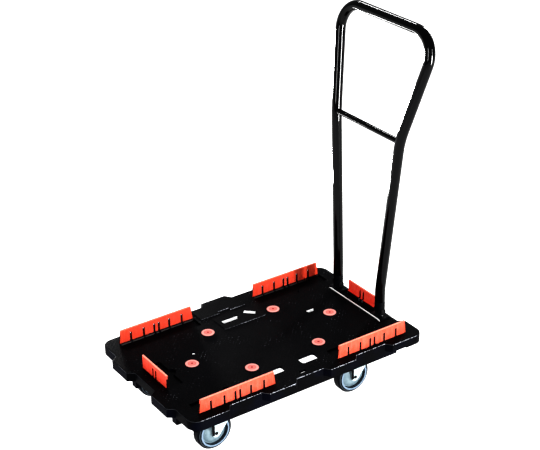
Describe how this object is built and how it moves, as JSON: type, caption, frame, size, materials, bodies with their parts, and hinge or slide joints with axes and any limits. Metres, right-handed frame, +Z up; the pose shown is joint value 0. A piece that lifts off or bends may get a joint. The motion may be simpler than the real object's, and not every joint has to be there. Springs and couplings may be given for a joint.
{
  "type": "folding platform cart",
  "caption": "Folding platform cart: moulded deck with fold-down stop flaps, bent tube push handle that folds flat, release bar and swivel casters.",
  "frame": {"origin": "centre of the load deck's top face", "axes": "+Z up, out of the load deck; +X towards the push handle; +Y towards the side with the linking tab"},
  "size_m": [0.7912, 0.478, 0.9703],
  "materials": {
    "deck_plastic": "satin injection-moulded polypropylene",
    "grip_rubber": "matt soft elastomer",
    "flap_orange": "satin moulded plastic",
    "flap_red_orange": "satin moulded plastic",
    "flap_red": "satin moulded plastic",
    "zinc_steel": "bright zinc plate",
    "handle_paint": "gloss powder coat",
    "nylon_black": "satin moulded nylon",
    "bracket_paint": "satin powder coat",
    "bright_rod": "polished rod",
    "latch_steel": "pressed zinc-plated steel",
    "spring_steel": "drawn spring wire",
    "fork_zinc": "pressed zinc-plated steel",
    "axle_steel": "bright zinc plate",
    "hub_plastic": "satin moulded nylon",
    "tread_rubber": "matt solid rubber"
  },
  "bodies": {
    "platform": {"deck": "deck_plastic", "grip_discs": "grip_rubber", "flap_pins": "zinc_steel", "handle_bracket_far": "bracket_paint", "handle_bracket_near": "bracket_paint", "pivot_pins": "zinc_steel", "bracket_screws": "zinc_steel", "bracket_nuts": "zinc_steel", "keeper_strip": "latch_steel", "strip_screws": "zinc_steel", "return_springs": "spring_steel", "caster_plates": "zinc_steel", "kingpins": "zinc_steel", "caster_bolts": "zinc_steel"},
    "handle": {"handle_tube": "handle_paint", "handle_crossbar": "handle_paint", "handle_foot_far": "nylon_black", "handle_foot_near": "nylon_black"},
    "release": {"release_bar": "bright_rod", "latch_plates": "latch_steel"},
    "flap_far_front": {"flap_far_front": "flap_red_orange"},
    "flap_far_rear": {"flap_far_rear": "flap_red_orange"},
    "flap_near_front": {"flap_near_front": "flap_orange"},
    "flap_near_rear": {"flap_near_rear": "flap_orange"},
    "flap_front": {"flap_front": "flap_red_orange"},
    "flap_rear": {"flap_rear": "flap_red"},
    "swivel_front_near": {"fork_front_near": "fork_zinc", "guard_front_near": "nylon_black", "axle_front_near": "axle_steel", "sleeve_front_near": "axle_steel"},
    "wheel_front_near": {"hub_front_near": "hub_plastic", "tyre_front_near": "tread_rubber"},
    "swivel_front_far": {"fork_front_far": "fork_zinc", "guard_front_far": "nylon_black", "axle_front_far": "axle_steel", "sleeve_front_far": "axle_steel"},
    "wheel_front_far": {"hub_front_far": "hub_plastic", "tyre_front_far": "tread_rubber"},
    "swivel_rear_near": {"fork_rear_near": "fork_zinc", "guard_rear_near": "nylon_black", "axle_rear_near": "axle_steel", "sleeve_rear_near": "axle_steel"},
    "wheel_rear_near": {"hub_rear_near": "hub_plastic", "tyre_rear_near": "tread_rubber"},
    "swivel_rear_far": {"fork_rear_far": "fork_zinc", "guard_rear_far": "nylon_black", "axle_rear_far": "axle_steel", "sleeve_rear_far": "axle_steel"},
    "wheel_rear_far": {"hub_rear_far": "hub_plastic", "tyre_rear_far": "tread_rubber"}
  },
  "joints": [
    {"name": "handle_fold", "type": "hinge", "parent": "platform", "child": "handle", "pos_m": [0.3182, 0, 0.02], "axis": [0, -1, 0], "range_deg": [0, 90]},
    {"name": "release_press", "type": "slide", "parent": "platform", "child": "release", "axis": [0, 0, 1], "range_m": [-0.004, 0], "stiffness_N_per_m": 2000, "springref_m": 0.004, "deforming": ["return_springs"]},
    {"name": "flap_far_front_fold", "type": "hinge", "parent": "platform", "child": "flap_far_front", "pos_m": [-0.2095, 0.1947, -0.0048], "axis": [1, 0, 0], "range_deg": [0, 90]},
    {"name": "flap_far_rear_fold", "type": "hinge", "parent": "platform", "child": "flap_far_rear", "pos_m": [0.2095, 0.1947, -0.0048], "axis": [1, 0, 0], "range_deg": [0, 90]},
    {"name": "flap_near_front_fold", "type": "hinge", "parent": "platform", "child": "flap_near_front", "pos_m": [-0.2095, -0.1947, -0.0048], "axis": [-1, 0, 0], "range_deg": [0, 90]},
    {"name": "flap_near_rear_fold", "type": "hinge", "parent": "platform", "child": "flap_near_rear", "pos_m": [0.2095, -0.1947, -0.0048], "axis": [-1, 0, 0], "range_deg": [0, 90]},
    {"name": "flap_front_fold", "type": "hinge", "parent": "platform", "child": "flap_front", "pos_m": [-0.3254, 0, -0.0048], "axis": [0, 1, 0], "range_deg": [0, 90]},
    {"name": "flap_rear_fold", "type": "hinge", "parent": "platform", "child": "flap_rear", "pos_m": [0.329, 0, 0.0033], "axis": [0, -1, 0], "range_deg": [0, 90]},
    {"name": "swivel_front_near", "type": "hinge", "parent": "platform", "child": "swivel_front_near", "pos_m": [-0.218, -0.145, -0.04], "axis": [0, 0, 1], "continuous": true},
    {"name": "wheel_front_near", "type": "hinge", "parent": "swivel_front_near", "child": "wheel_front_near", "pos_m": [-0.254, -0.145, -0.105], "axis": [0, 1, 0], "continuous": true},
    {"name": "swivel_front_far", "type": "hinge", "parent": "platform", "child": "swivel_front_far", "pos_m": [-0.218, 0.145, -0.04], "axis": [0, 0, 1], "continuous": true},
    {"name": "wheel_front_far", "type": "hinge", "parent": "swivel_front_far", "child": "wheel_front_far", "pos_m": [-0.254, 0.145, -0.105], "axis": [0, 1, 0], "continuous": true},
    {"name": "swivel_rear_near", "type": "hinge", "parent": "platform", "child": "swivel_rear_near", "pos_m": [0.218, -0.145, -0.04], "axis": [0, 0, 1], "continuous": true},
    {"name": "wheel_rear_near", "type": "hinge", "parent": "swivel_rear_near", "child": "wheel_rear_near", "pos_m": [0.182, -0.145, -0.105], "axis": [0, 1, 0], "continuous": true},
    {"name": "swivel_rear_far", "type": "hinge", "parent": "platform", "child": "swivel_rear_far", "pos_m": [0.218, 0.145, -0.04], "axis": [0, 0, 1], "continuous": true},
    {"name": "wheel_rear_far", "type": "hinge", "parent": "swivel_rear_far", "child": "wheel_rear_far", "pos_m": [0.182, 0.145, -0.105], "axis": [0, 1, 0], "continuous": true}
  ]
}
